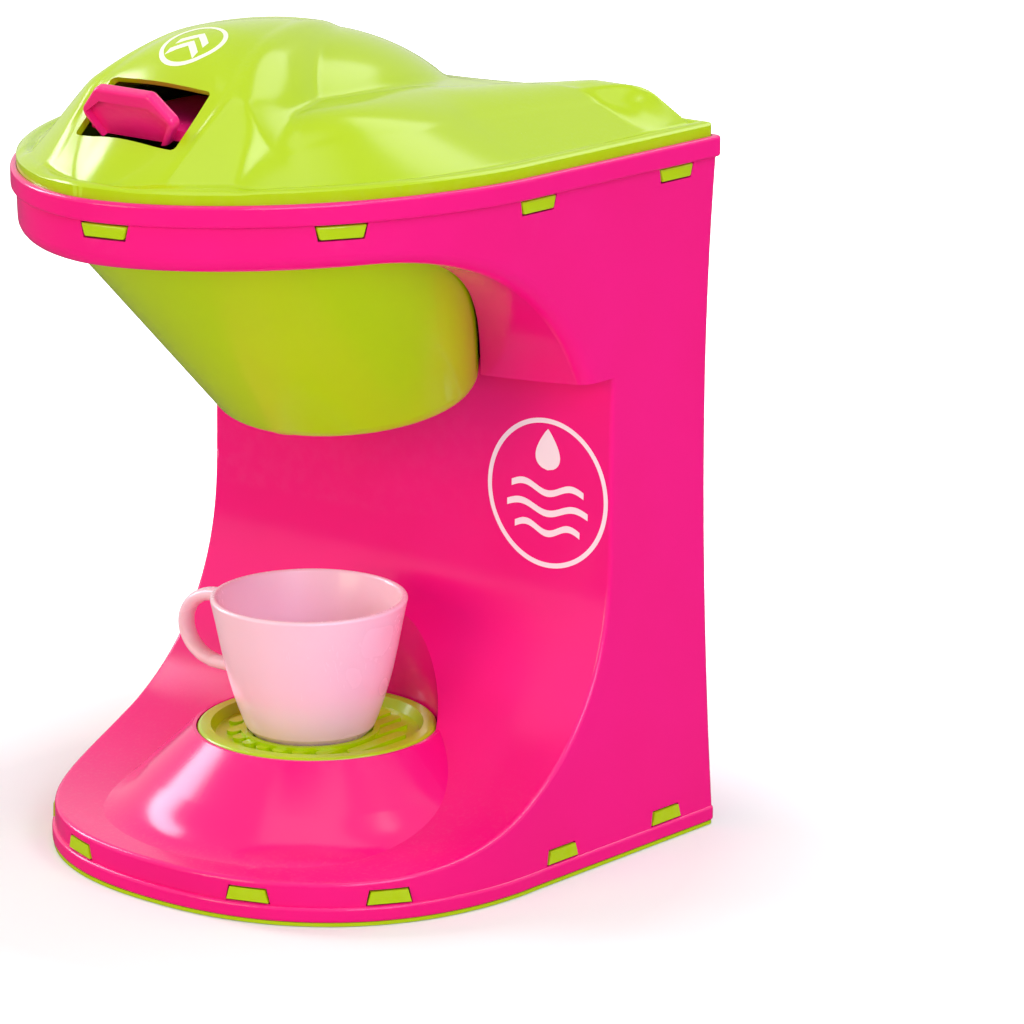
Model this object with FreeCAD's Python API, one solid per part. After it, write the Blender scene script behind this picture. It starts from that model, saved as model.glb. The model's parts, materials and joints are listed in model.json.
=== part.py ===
import FreeCAD, Part
import os
from math import atan2, cos, degrees, hypot, pi, sin, sqrt
from FreeCAD import Vector

# Toy coffee maker, millimetres. x is the viewer's right, y = 0 is the back face and the front
# lies at negative y, z is up from the floor. Every piece is shifted at the end so that the
# origin is on the floor, midway between the back face and the front of the rim.

# Body: heights
rim_height = 180.0
rim_band_height = 5.3
skirt_underside = 163.5
flange_height = 4.8
foot_top = 11.0
plate_edge = 0.9

# Body: plan of the rim and of the foot, each a taper at the sides and a rounded front
rim_back_half = 72.0
side_taper = 3.0
rim_front_start = 68.9
rim_front_reach = 88.4
rim_front_power = 1.83
foot_front_start = 66.4
foot_front_reach = 70.0
foot_front_power = 2.27
back_corner_radius = 2.0
rim_proud = 1.4
edge_rounding = 0.8
flange_proud = 1.0
waist_half = 67.9
waist_height = 105.0
waist_flare_up = 0.00055
waist_flare_down = 0.00036
wall = 2.2

# Body: the open bay between the skirt and the foot, seen from the side
arch_centre_y = -112.0
arch_centre_z = 105.0
arch_reach = 69.5
arch_power = 1.93
column_depth = 36.5
column_draft = 1.0
scoop_centre_y = -125.0
scoop_centre_z = 85.0
scoop_power = 2.4
lip_height = 120.2
lip_bow_radius = 594.0
bay_edge_radius = 1.1
skirt_edge_radius = 4.0

# Body: mound under the cup, and the well that takes the drip tray
mound_y = -73.2
mound_top = 30.5
mound_top_radius = 31.6
mound_slope = 1.08
mound_bend_radius = 43.0
mound_flare_radius = 58.0
mound_flare_height = 10.7
tray_radius = 30.4
tray_fit = 0.3
tray_rim_thickness = 3.0
tray_proud = 0.4
well_ledge_width = 3.0
well_top = 60.0

# Drip tray
tray_recess_radius = 27.0
tray_floor_drop = 2.4
tray_floor_thickness = 1.6
rib_pitch = 4.98
rib_width = 3.4
rib_height = 1.0
rib_circle_radius = 22.5
rib_count = 9
collar_outer_radius = 17.6
collar_wall = 1.5
collar_height = 1.7
locating_ring_height = 2.6
locating_ring_wall = 1.6

# Cup
cup_y = -75.8
cup_height = 35.4
cup_rim_radius = 25.1
cup_foot_radius = 14.75
cup_wall = 1.8
handle_centre_x = 31.0
handle_centre_height = 20.9
handle_loop_x = 11.2
handle_loop_z = 9.0
handle_thickness = 3.4
handle_width = 5.0

# Funnel shaped water tank
cone_ref_height = 120.0
cone_ref_radius = 35.6
cone_flare = 0.365
cone_ref_y = -64.4
cone_lean = 0.578
tank_wall = 2.0
tank_back_y = -38.4
tank_floor_y = -61.9
tank_floor_height = 113.8
tank_floor_slope = 0.153
tank_edge_radius = 6.0
tank_gap = 0.8
tank_flange_height = 167.0
tank_flange_thickness = 2.0
tank_flange_width = 9.5
boss_radius = 3.6
side_screw_x = 57.5
rear_screw_x = 42.0
rear_screw_y = -49.0
screw_radius = 1.5
screw_hole_play = 0.2

# Outlet, valve and spring
spout_y = -80.0
spout_bottom = 109.0
spout_bore_radius = 4.5
spout_wall = 2.0
seat_height = 114.4
plug_radius = 6.2
plug_height = 5.0
stem_radius = 2.0
stem_fit = 0.08
stem_top = 203.5
clip_radius = 4.6
clip_thickness = 1.4
clip_play = 0.55
spring_outer_radius = 4.4
spring_inner_radius = 3.0
spring_seat_height = 206.6
guide_width = 12.0
guide_thickness = 2.4
guide_hub_height = 6.0
guide_hub_radius = 5.0

# Lever
pin_y = -62.0
pin_height = 196.0
pin_radius = 2.0
pin_fit = 0.06
hub_radius = 4.6
arm_half = 6.0
arm_thickness = 2.6
lever_half = 15.3
lever_plate_height = 191.5
lever_plate_thickness = 2.5
lever_knee_y = -98.0
lip_front_y = -140.9
lip_lean = 4.0
lip_thickness = 3.4
lip_foot = 190.4
lip_foot_half = 10.8
lip_top = 203.2
lip_shoulder = 196.4
lip_top_half = 8.6
lip_corner_radius = 2.2
lip_edge_radius = 1.1
lip_recess = 1.7
lip_side_rim = 2.1
lip_top_rim = 3.4
ear_gap = 0.4
ear_thickness = 2.6
pin_cap_thickness = 1.4
pin_cap_radius = 3.6

# Lid
lid_wall = 1.8
lid_inset = 1.6
lid_seat_depth = 1.5
lid_crease_height = 183.3
lid_bead_width = 4.6
dome_top = 214.3
dome_top_y = -102.0
dome_front_radius = 36.0
dome_rear_radius = 150.0
ball_top = 211.5
ball_y = -85.0
ball_long_radius = 91.7
ball_cross_radius = 34.3
strip_half = 26.0
strip_taper_start = -125.0
strip_taper_length = 63.0
shoulder_half = 44.0
shoulder_front = 196.2
shoulder_rear = 191.6
slot_half = 16.0
slot_front_y = -140.3
slot_length = 17.2
skirt_fit = 0.3
lid_skirt_thickness = 1.6
lid_skirt_bottom = 170.4

# Snap tabs: places on the right, the left ones mirror them
upper_snap_width = 12.4
lower_snap_width = 11.0
snap_height = 3.2
snap_slant = 0.9
snap_proud = 0.35
snap_slot_margin = 0.4
upper_snap_height = 172.7
lower_snap_height = 6.9
upper_snap_front_x = 51.4
upper_snap_nose_x = 7.6
upper_snap_side_y = [-67.7, -16.3]
lower_snap_front_x = [28.0, 55.9]
lower_snap_side_y = [-59.4, -19.4]

origin_shift = (rim_front_start + rim_front_reach) / 2
far = 400.0


def save(shape, name):
    moved = shape.copy()
    moved.translate(Vector(0, origin_shift, 0))
    moved.exportStep("parts/" + name + ".step")
    solids = moved.Solids
    volume = sum(solid.Volume for solid in solids)
    box = moved.optimalBoundingBox(False)
    print(name, "solids", len(solids), "valid", moved.isValid(), "volume %.0f" % volume,
          "y %.1f..%.1f z %.1f..%.1f" % (box.YMin, box.YMax, box.ZMin, box.ZMax))


def box(x0, x1, y0, y1, z0, z1):
    return Part.makeBox(x1 - x0, y1 - y0, z1 - z0, Vector(x0, y0, z0))


def rod(radius, x, y, z0, z1):
    return Part.makeCylinder(radius, z1 - z0, Vector(x, y, z0))


def power_arc(centre, reach_a, reach_b, power, start, end, count):
    # Points of a rounded arc |a|^p + |b|^p = 1 about a centre, as (a, b) pairs
    points = []
    for step in range(count + 1):
        angle = start + (end - start) * step / count
        a = cos(angle)
        b = sin(angle)
        grow = (abs(a) ** power + abs(b) ** power) ** (-1 / power)
        points.append((centre[0] + reach_a * a * grow, centre[1] + reach_b * b * grow))
    return points


def wall_half(z):
    flare = waist_flare_up if z > waist_height else waist_flare_down
    return waist_half + flare * (z - waist_height) ** 2


def wall_plan(z):
    # Half width at the back, half width where the front starts, front start, reach and power
    share = min(1.0, max(0.0, (z - foot_top) / (skirt_underside - foot_top)))
    start = foot_front_start + (rim_front_start - foot_front_start) * share
    reach = (foot_front_reach - flange_proud) * (1 - share) + (rim_front_reach - rim_proud) * share
    power = foot_front_power + (rim_front_power - foot_front_power) * share
    half = wall_half(z)
    return half, half - side_taper, start, reach, power


def plan_wire(plan, inset, z):
    back, front, start, reach, power = plan
    back = back - inset
    front = front - inset
    reach = reach - inset
    radius = back_corner_radius
    side = (back - front) / (start - inset)
    arc = power_arc((0, -start), front, reach, power, 0, -pi, 32)
    curve = Part.BSplineCurve()
    run = Vector(-side, -1, 0)
    leave = Vector(-side, 1, 0)
    curve.interpolate(Points=[Vector(x, y, z) for x, y in arc], InitialTangent=run, FinalTangent=leave)
    edges = [curve.toShape()]
    low = back - side * radius
    bend = radius * (1 - sin(pi / 4))
    left_low = Vector(-low, -inset - radius, z)
    left_top = Vector(radius - back, -inset, z)
    right_top = Vector(back - radius, -inset, z)
    right_low = Vector(low, -inset - radius, z)
    left_mid = Vector(bend - back, -inset - bend, z)
    right_mid = Vector(back - bend, -inset - bend, z)
    edges.append(Part.makeLine(Vector(-front, -start, z), left_low))
    edges.append(Part.Arc(left_low, left_mid, left_top).toShape())
    edges.append(Part.makeLine(left_top, right_top))
    edges.append(Part.Arc(right_top, right_mid, right_low).toShape())
    edges.append(Part.makeLine(right_low, Vector(front, -start, z)))
    return Part.Wire(edges)


def plan_slab(plan, inset, z0, z1):
    return Part.Face(plan_wire(plan, inset, z0)).extrude(Vector(0, 0, z1 - z0))


def wall_loft(inset, heights):
    return Part.makeLoft([plan_wire(wall_plan(z), inset, z) for z in heights], True, False)


def rim_plan():
    half = rim_back_half
    return half, half - side_taper, rim_front_start, rim_front_reach, rim_front_power


def flange_plan():
    half = rim_back_half
    return half, half - side_taper, foot_front_start, foot_front_reach, foot_front_power


def profile_prism(points, half):
    # A closed profile in (y, z), drawn out along x to both sides
    corners = [Vector(-half, y, z) for y, z in points]
    face = Part.Face(Part.makePolygon(corners + corners[:1]))
    return face.extrude(Vector(2 * half, 0, 0))


def curved_prism(curve_points, corners, half):
    # The same with one smooth stretch, followed by straight corners back to its start
    spline = Part.BSplineCurve()
    spline.interpolate([Vector(-half, y, z) for y, z in curve_points])
    chain = [curve_points[-1]] + corners + [curve_points[0]]
    line = Part.makePolygon([Vector(-half, y, z) for y, z in chain])
    face = Part.Face(Part.Wire([spline.toShape()] + line.Edges))
    return face.extrude(Vector(2 * half, 0, 0))


def bay_tool(grow):
    # The space under the skirt and in front of the column; grow moves its walls outwards
    half = far / 4
    top = skirt_underside + grow
    arch = power_arc((arch_centre_y, arch_centre_z), arch_reach + grow,
                     top - arch_centre_z, arch_power, pi / 2, 0.1, 14)
    low = lip_height - 15
    arch_points = [point for point in arch if point[1] > low + 6]
    end_y = arch_points[-1][0]
    under_arch = curved_prism(arch_points, [(end_y, low), (-far, low), (-far, top)], half)
    face_top = grow - column_depth
    face_low = grow - column_depth - column_draft
    scoop = power_arc((scoop_centre_y, scoop_centre_z), face_low - scoop_centre_y,
                      scoop_centre_z - foot_top + grow, scoop_power, 0, -pi / 2, 16)
    lid_z = lip_height + 30
    corners = [(-far, foot_top - grow), (-far, lid_z), (face_top, lid_z)]
    column = curved_prism(scoop, corners, half)
    bow = lip_bow_radius - grow
    lip = Part.makeCylinder(bow, far + 50, Vector(0, -far, lip_height + lip_bow_radius),
                            Vector(0, 1, 0))
    return under_arch.fuse(column.cut(lip)).removeSplitter()


def mound(grow):
    # Cone about the cup's place with a foot that flares out; grow makes it thicker
    top = mound_top if grow == 0 else mound_top - mound_depth() + grow
    shift = grow * sqrt(1 + mound_slope ** 2)
    top_radius = mound_top_radius + (mound_top - top) * mound_slope + shift
    bend_drop = (mound_bend_radius - mound_top_radius) / mound_slope
    bend = Vector(mound_bend_radius + shift, 0, mound_top - bend_drop)
    flare = Vector(mound_flare_radius + shift, 0, mound_flare_height)
    spline = Part.BSplineCurve()
    spline.interpolate(Points=[bend, flare], InitialTangent=Vector(mound_slope, 0, -1),
                       FinalTangent=Vector(1, 0, -0.05))
    low = foot_top - 2 * wall
    corners = [flare, Vector(flare.x, 0, low), Vector(0, 0, low), Vector(0, 0, top),
               Vector(top_radius, 0, top), bend]
    lines = Part.makePolygon(corners).Edges
    solid = Part.Face(Part.Wire([spline.toShape()] + lines)).revolve(Vector(0, 0, 0), Vector(0, 0, 1), 360)
    solid.translate(Vector(0, mound_y, 0))
    return solid


def mound_depth():
    return tray_rim_thickness - tray_proud


def cone_radius(z):
    return cone_ref_radius + cone_flare * (z - cone_ref_height)


def cone_y(z):
    return cone_ref_y - cone_lean * (z - cone_ref_height)


def leaning_cone(grow, z0, z1):
    rings = []
    for z in (z0, z1):
        ring = Part.makeCircle(cone_radius(z) + grow, Vector(0, cone_y(z), z))
        rings.append(Part.Wire([ring]))
    return Part.makeLoft(rings, True, True)


def snap_places(z, front_x, side_y):
    # Point on the wall and outward direction of each snap tab on the right
    half, front, start, reach, power = wall_plan(z)
    places = []
    for x in front_x:
        y = start + reach * (1 - (x / front) ** power) ** (1 / power)
        nx = (x / front) ** (power - 1) / front
        ny = ((y - start) / reach) ** (power - 1) / reach
        places.append((x, -y, degrees(atan2(-ny, nx))))
    for y in side_y:
        x = half + (half - front) * y / start
        places.append((x, y, degrees(atan2(-side_taper / start, 1))))
    return places


def upper_snaps():
    places = snap_places(upper_snap_height, [upper_snap_front_x], upper_snap_side_y)
    nose = snap_places(upper_snap_height, [upper_snap_nose_x], [])
    return places + [(-x, y, 180 - angle) for x, y, angle in places] + nose


def lower_snaps():
    places = snap_places(lower_snap_height, lower_snap_front_x, lower_snap_side_y)
    return places + [(-x, y, 180 - angle) for x, y, angle in places]


def snap_block(place, z, low, high, depth, inner, outer):
    # Block across the wall, low wide at its underside and high wide at its top
    x, y, angle = place
    corners = [Vector(-inner, -low, -depth), Vector(-inner, low, -depth),
               Vector(-inner, high, depth), Vector(-inner, -high, depth)]
    face = Part.Face(Part.makePolygon(corners + corners[:1]))
    block = face.extrude(Vector(inner + outer, 0, 0))
    block.rotate(Vector(0, 0, 0), Vector(0, 0, 1), angle)
    block.translate(Vector(x, y, z))
    return block


def upper_snap_block(place, grow, inner, outer):
    half = upper_snap_width / 2 + grow
    return snap_block(place, upper_snap_height, half - snap_slant, half, snap_height / 2 + grow, inner, outer)


def lower_snap_block(place, grow, inner, outer):
    half = lower_snap_width / 2 + grow
    return snap_block(place, lower_snap_height, half, half - snap_slant, snap_height / 2 + grow, inner, outer)


def bay_edges(solid):
    # Edges where the open bay meets the side walls and the skirt
    found = []
    for edge in solid.Edges:
        box = edge.BoundBox
        if box.XMin * box.XMax < 0 and box.ZMax - box.ZMin > 0.5:
            continue
        middle = edge.valueAt((edge.FirstParameter + edge.LastParameter) / 2)
        on_side = abs(middle.x) > waist_half - side_taper - 3 and box.XMax - box.XMin < 8
        in_bay = foot_top + 0.5 < middle.z < skirt_underside - 0.2 and box.ZMax - box.ZMin > 1
        if on_side and in_bay and box.YMax < -column_depth + 2 and box.YMin > -far / 2:
            found.append(edge)
    return found


def rounded_slab(slab, radius):
    # The slab with the edges of its top and underside rounded
    return slab.makeFillet(radius, [edge for edge in slab.Edges if edge.BoundBox.ZLength < 0.01])


def skirt_edges(solid):
    # Front edge of the skirt's underside
    level = [edge for edge in solid.Edges if abs(edge.BoundBox.ZMin - skirt_underside) < 0.2
             and abs(edge.BoundBox.ZMax - skirt_underside) < 0.2]
    return [edge for edge in level if edge.BoundBox.YMin < arch_centre_y - 1]


def well_ledge():
    return mound_top - mound_depth()


def outer_form():
    outer = wall_loft(0, [foot_top - 7, 30, 62, waist_height, 140, skirt_underside, rim_height - 1])
    outer = outer.cut(bay_tool(0))
    outer = outer.makeFillet(skirt_edge_radius, skirt_edges(outer))
    outer = outer.makeFillet(bay_edge_radius, bay_edges(outer))
    band = rounded_slab(plan_slab(rim_plan(), 0, rim_height - rim_band_height, rim_height), edge_rounding)
    flange = rounded_slab(plan_slab(flange_plan(), 0, plate_edge, flange_height), edge_rounding)
    return outer.fuse([band, flange, mound(0)]).removeSplitter()


def inner_form():
    inner = wall_loft(wall, [plate_edge - 5, 30, 62, waist_height, 140, skirt_underside, rim_height + 5])
    inner = inner.cut(bay_tool(wall))
    inner = inner.cut(rod(tray_radius + tray_fit + wall, 0, mound_y, well_ledge() - wall, well_top))
    inner = inner.fuse(mound(-wall))
    return inner.cut(box(-far, far, -far, far, rim_height + 3, far))


def body_shell():
    body = outer_form().cut(inner_form())
    posts = [rod(boss_radius, side * x, y, lip_height, tank_flange_height)
             for side in (-1, 1) for x, y in screw_places()]
    body = body.fuse([post.cut(bay_tool(0)) for post in posts])
    opening = leaning_cone(tank_gap, 100, tank_flange_height - 0.5)
    body = body.cut(opening.common(box(-far, far, -far, tank_back_y + tank_gap, 0, far)))
    body = body.cut(plan_slab(rim_plan(), lid_inset - 0.15, rim_height - lid_seat_depth, rim_height + 5))
    body = body.cut(rod(tray_radius + tray_fit, 0, mound_y, well_ledge(), well_top))
    body = body.cut(rod(tray_radius - well_ledge_width, 0, mound_y, foot_top, well_ledge() + 1))
    for place in upper_snaps():
        body = body.cut(upper_snap_block(place, snap_slot_margin, wall + 2, 3))
    for place in lower_snaps():
        body = body.cut(lower_snap_block(place, snap_slot_margin, wall + 2, 3))
    for side in (-1, 1):
        for x, y in screw_places():
            hole_low = tank_flange_height - 7.5
            body = body.cut(rod(screw_radius, side * x, y, hole_low, tank_flange_height + 1))
    return biggest(body.removeSplitter())


def biggest(shape):
    return sorted(shape.Solids, key=lambda solid: solid.Volume)[-1]


def screw_places():
    return [(side_screw_x, spout_y), (rear_screw_x, rear_screw_y)]


def soft_max(a, b, blend):
    # The greater of two heights, with the corner between them rounded off
    share = max(0.0, min(1.0, 0.5 + 0.5 * (a - b) / blend))
    return b + (a - b) * share + blend * share * (1 - share) / 2


def soft_min(a, b, blend):
    return -soft_max(-a, -b, blend)


def ease(value):
    value = max(0.0, min(1.0, value))
    return value * value * (3 - 2 * value)


def rim_distance(x, y):
    # How far a place lies inside the lid's edge
    half = rim_back_half - lid_inset
    front = half - side_taper
    start = rim_front_start
    reach = rim_front_reach - lid_inset
    power = rim_front_power
    rear = -y - lid_inset
    if y > -start:
        return min(front + side_taper * (1 + y / start) - abs(x), rear)
    radius = hypot(x, y + start)
    if radius < 0.01:
        return front
    rho = ((abs(x) / front) ** power + (abs(y + start) / reach) ** power) ** (1 / power)
    return min(radius * (1 / rho - 1), rear)


def lid_height(x, y):
    # Outer height of the lid: bead, sloping sides, shoulders, ball and the strip over it
    q = abs(x)
    edge = rim_distance(x, y)
    bead_share = max(-1.0, min(1.0, (edge - 0.45 * lid_bead_width) / (0.62 * lid_bead_width)))
    bead = lid_crease_height - 2.8 + 3.0 * sqrt(1 - bead_share ** 2)
    steep = 0.47 + 0.5 * ease((-y - 62) / 50)
    steep = steep + 0.8 * ease((y + 26) / 16) * ease((q - 5) / 40)
    face = lid_crease_height + steep * (edge - lid_bead_width)
    front_fall = 0.0055 * max(0.0, -y + dome_top_y + 4) ** 2
    rise = ease((-y - 20) / 78)
    shoulder = shoulder_rear + (shoulder_front - shoulder_rear) * rise - front_fall
    inward = 1 - min(1.0, q / shoulder_half) ** 2
    valley = 7.0 * max(0.0, min(1.0, (y + 42) / 34)) ** 1.2 - 2.5 * ease((-y - 42) / 40)
    plateau = shoulder - valley * inward
    base = soft_min(face, plateau, 3.0)
    base = soft_max(base, bead, 0.8)
    along = min(ball_long_radius - 1, abs(y - ball_y))
    share = 1 - (along / 70.0) ** 2
    cross = ball_cross_radius * sqrt(max(0.12, share))
    swell = cross - sqrt(max(0.0, cross * cross - q * q)) if q < cross else cross + 3 * (q - cross)
    ball = ball_top - ball_long_radius + sqrt(ball_long_radius ** 2 - along ** 2) - swell
    top = soft_max(base, ball, 1.6)
    run = y - dome_top_y
    if run >= 0:
        crest = dome_top - dome_rear_radius + sqrt(dome_rear_radius ** 2 - run * run)
    elif run > -dome_front_radius * sin(pi / 4):
        crest = dome_top - dome_front_radius + sqrt(dome_front_radius ** 2 - run * run)
    else:
        over = -run - dome_front_radius * sin(pi / 4)
        crest = dome_top - dome_front_radius * (1 - cos(pi / 4)) - over
    taper = (y - strip_taper_start) / strip_taper_length
    half = strip_half * (1 - min(1.0, max(0.0, taper))) ** 0.8
    crown = 0.014 * ease((y + 135) / 35) * min(q, half + 3) ** 2
    flank = 1.25 * max(0.0, q - half)
    strip = crest - crown - flank
    strip = soft_min(strip, lid_crease_height + 1.15 * (edge - lid_bead_width + 1), 1.5)
    return soft_max(top, strip, 1.6)


def lid_sheet(drop):
    # The lid's height as one smooth surface, lowered by drop
    columns = 45
    rows = 53
    x_end = rim_back_half + 2
    y_end = 2 * origin_shift + 3
    grid = []
    for i in range(columns + 1):
        x = x_end * sin(pi / 2 * (2 * i / columns - 1) * 0.999)
        line = []
        for j in range(rows + 1):
            y = 3 - (y_end + 3) * j / rows
            line.append(Vector(x, y, lid_height(x, y) - drop))
        grid.append(line)
    surface = Part.BSplineSurface()
    surface.interpolate(grid)
    return surface.toShape()


def under_sheet(drop):
    # The space under the lowered sheet, deep enough to reach below the rim
    return lid_sheet(drop).extrude(Vector(0, 0, lid_skirt_bottom - dome_top - 20))


def slot_tool(grow):
    # Block through the dome's front slope, square to it
    angle = 45.0
    top = dome_top - dome_front_radius * (1 - cos(pi / 4))
    break_y = dome_top_y - dome_front_radius * sin(pi / 4)
    front_z = top - (break_y - slot_front_y)
    block = box(-slot_half - grow, slot_half + grow, -grow, slot_length + grow, -5, 5)
    block.rotate(Vector(0, 0, 0), Vector(1, 0, 0), angle)
    block.translate(Vector(0, slot_front_y, front_z))
    return block


def lid():
    plan = rim_plan()
    seat = rim_height - lid_seat_depth
    cap = under_sheet(0).common(plan_slab(plan, lid_inset, seat, dome_top + 5))
    hollow = under_sheet(lid_wall)
    hollow = hollow.common(plan_slab(plan, lid_inset + 4.4, seat - 5, dome_top + 5))
    shell = cap.cut(hollow)
    heights = [lid_skirt_bottom, 174, 177, seat + 0.6]
    inset = wall + skirt_fit
    ring = wall_loft(inset, heights).cut(wall_loft(inset + lid_skirt_thickness, heights))
    shell = shell.fuse(ring)
    for place in upper_snaps():
        shell = shell.fuse(upper_snap_block(place, 0, wall + 1.2, snap_proud))
    shell = shell.cut(slot_tool(0))
    skin = under_sheet(lid_wall * 0.5)
    fixtures = []
    for side in (-1, 1):
        x0 = side * (arm_half + ear_gap)
        x1 = side * (arm_half + ear_gap + ear_thickness)
        ear = box(min(x0, x1), max(x0, x1), pin_y - hub_radius, pin_y + hub_radius,
                  pin_height - hub_radius, dome_top)
        fixtures.append(ear.cut(lever_pin()))
    sleeve = rod(spring_outer_radius, 0, spout_y, spring_seat_height, dome_top)
    sleeve = sleeve.cut(rod(stem_radius + 0.6, 0, spout_y, spring_seat_height - 1, spring_seat_height + 2.6))
    fixtures.append(sleeve)
    for piece in fixtures:
        shell = shell.fuse(piece.common(skin))
    return biggest(shell)


def base_plate():
    slab = plan_slab(flange_plan(), 0.3, 0, plate_edge)
    slab = slab.fuse(plan_slab(wall_plan(3), wall + skirt_fit, 0, plate_edge + 1.2))
    heights = [plate_edge - 0.4, 3, 6, foot_top - wall - skirt_fit]
    inset = wall + skirt_fit
    ring = wall_loft(inset, heights).cut(wall_loft(inset + lid_skirt_thickness, heights))
    plate = slab.fuse(ring)
    for place in lower_snaps():
        plate = plate.fuse(lower_snap_block(place, 0, wall + 1.2, snap_proud))
    return biggest(plate.removeSplitter())


def tank_blank(grow, floor_lift, top):
    floor = tank_floor_height + floor_lift
    cone = leaning_cone(grow, floor - 14, top)
    run = 200.0
    drop = tank_floor_slope * run
    points = [(tank_floor_y + run, floor + drop), (tank_floor_y - run, floor - drop),
              (tank_floor_y - run, floor - drop - 80), (tank_floor_y + run, floor - drop - 80)]
    cone = cone.cut(profile_prism(points, far / 4))
    low_edges = [edge for edge in cone.Edges if edge.BoundBox.ZMax < floor + 8 and edge.Length > 60]
    cone = cone.makeFillet(tank_edge_radius + grow * 0.6, low_edges)
    return cone.common(box(-far, far, -far, tank_back_y + grow, 0, far))


def funnel_tank():
    top = tank_flange_height + tank_flange_thickness
    shell = tank_blank(0, 0, top)
    plan_limit = plan_slab(wall_plan(tank_flange_height), wall + 1.0, 150, 200)
    flange = rod(cone_radius(top) + tank_flange_width, 0, cone_y(top), tank_flange_height, top)
    for side in (-1, 1):
        for x, y in screw_places():
            flange = flange.fuse(rod(boss_radius + 1.4, side * x, y, tank_flange_height, top))
    flange = flange.common(plan_limit)
    shell = shell.fuse(flange)
    shell = shell.cut(tank_blank(-tank_wall, tank_wall, top + 10))
    spout_radius = spout_bore_radius + spout_wall
    shell = shell.fuse(rod(spout_radius, 0, spout_y, spout_bottom, seat_height))
    shell = shell.cut(rod(spout_bore_radius, 0, spout_y, spout_bottom - 5, seat_height + 5))
    for side in (-1, 1):
        for x, y in screw_places():
            hole = rod(screw_radius + screw_hole_play, side * x, y, tank_flange_height - 1, top + 1)
            shell = shell.cut(hole)
    return biggest(shell.removeSplitter())


def stem_guide():
    # Bar across the open tank that holds the valve stem upright
    low = tank_flange_height + tank_flange_thickness
    high = low + guide_thickness
    reach = side_screw_x + 3.6
    bar = box(-reach, reach, spout_y - guide_width / 2, spout_y + guide_width / 2, low, high)
    bar = bar.fuse(rod(guide_hub_radius, 0, spout_y, low - guide_hub_height, high))
    bar = bar.cut(rod(stem_radius + stem_fit, 0, spout_y, low - 20, high + 5))
    for side in (-1, 1):
        bar = bar.cut(rod(screw_radius + screw_hole_play, side * side_screw_x, spout_y, low - 1, high + 1))
    return bar.removeSplitter()


def pan_screw(x, y, seat, depth):
    shank = rod(screw_radius - 0.02, x, y, seat - depth, seat)
    head = rod(screw_radius * 1.9, x, y, seat, seat + 1.8)
    drive = box(x - 1.6, x + 1.6, y - 0.35, y + 0.35, seat + 0.9, seat + 3)
    cross = box(x - 0.35, x + 0.35, y - 1.6, y + 1.6, seat + 0.9, seat + 3)
    return shank.fuse(head).cut(drive).cut(cross).removeSplitter()


def screw_pair(x, y, seat, depth):
    return Part.makeCompound([pan_screw(side * x, y, seat, depth) for side in (-1, 1)])


def clip_height():
    rise = (pin_height - arm_front_z()) / (pin_y - lever_knee_y)
    middle = pin_height - rise * (pin_y - spout_y)
    return middle + arm_thickness / 2 + clip_play


def arm_front_z():
    return lever_plate_height + lever_plate_thickness / 2


def valve_stem():
    stem = rod(stem_radius, 0, spout_y, seat_height + 1.5, stem_top)
    flat = clip_height()
    groove = rod(stem_radius + 1, 0, spout_y, flat, flat + clip_thickness)
    groove = groove.cut(rod(stem_radius - 0.5, 0, spout_y, flat - 1, flat + clip_thickness + 1))
    return stem.cut(groove)


def stem_clip():
    low = clip_height()
    clip = rod(clip_radius, 0, spout_y, low, low + clip_thickness)
    clip = clip.cut(rod(stem_radius - 0.5, 0, spout_y, low - 1, low + 5))
    return clip.cut(box(-stem_radius + 0.7, stem_radius - 0.7, spout_y, spout_y + 10, low - 1, low + 5))


def valve_plug():
    # Soft plug on the stem's foot, a short cone that sits on the outlet's rim
    plug = Part.makeCone(plug_radius, stem_radius + 1.6, plug_height, Vector(0, spout_y, seat_height))
    nose = Part.makeCone(spout_bore_radius - 1.6, spout_bore_radius - 0.3, 2.2,
                         Vector(0, spout_y, seat_height - 2.2))
    return plug.fuse(nose).cut(rod(stem_radius, 0, spout_y, seat_height + 1.5, seat_height + 20))


def return_spring():
    low = clip_height() + clip_thickness
    tube = rod(spring_outer_radius, 0, spout_y, low, spring_seat_height)
    return tube.cut(rod(spring_inner_radius, 0, spout_y, low - 1, spring_seat_height + 1))


def lip_outline(side_rim, top_rim, foot_drop):
    # Half widths and heights of the thumb rest, from foot to top
    return [(lip_foot_half - side_rim, lip_foot - foot_drop), (lever_half - side_rim, lip_shoulder),
            (lip_top_half - side_rim / 3, lip_top - top_rim)]


def shield_face(outline, y):
    corners = [Vector(x, y, z) for x, z in outline] + [Vector(-x, y, z) for x, z in reversed(outline)]
    return Part.Face(Part.makePolygon(corners + corners[:1]))


def lever_lip():
    # Upturned thumb rest: a leaning shield with a recess in its front face
    shield = shield_face(lip_outline(0, 0, 0), 0).extrude(Vector(0, lip_thickness, 0))
    across = [e for e in shield.Edges if e.BoundBox.YLength > 1 and e.BoundBox.ZMin > lip_foot + 1]
    shield = shield.makeFillet(lip_corner_radius, across)
    around = [e for e in shield.Edges if e.BoundBox.YLength < 0.01 and e.BoundBox.ZMax > lip_foot + 1]
    shield = shield.makeFillet(lip_edge_radius, around)
    pocket = shield_face(lip_outline(lip_side_rim, lip_top_rim, 1), -1)
    shield = shield.cut(pocket.extrude(Vector(0, 1 + lip_recess, 0)))
    lean = degrees(atan2(lip_lean, lip_top - lip_foot))
    shield.rotate(Vector(0, 0, lip_foot), Vector(1, 0, 0), lean)
    shield.translate(Vector(0, lip_front_y + lip_lean, 0))
    return shield


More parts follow.
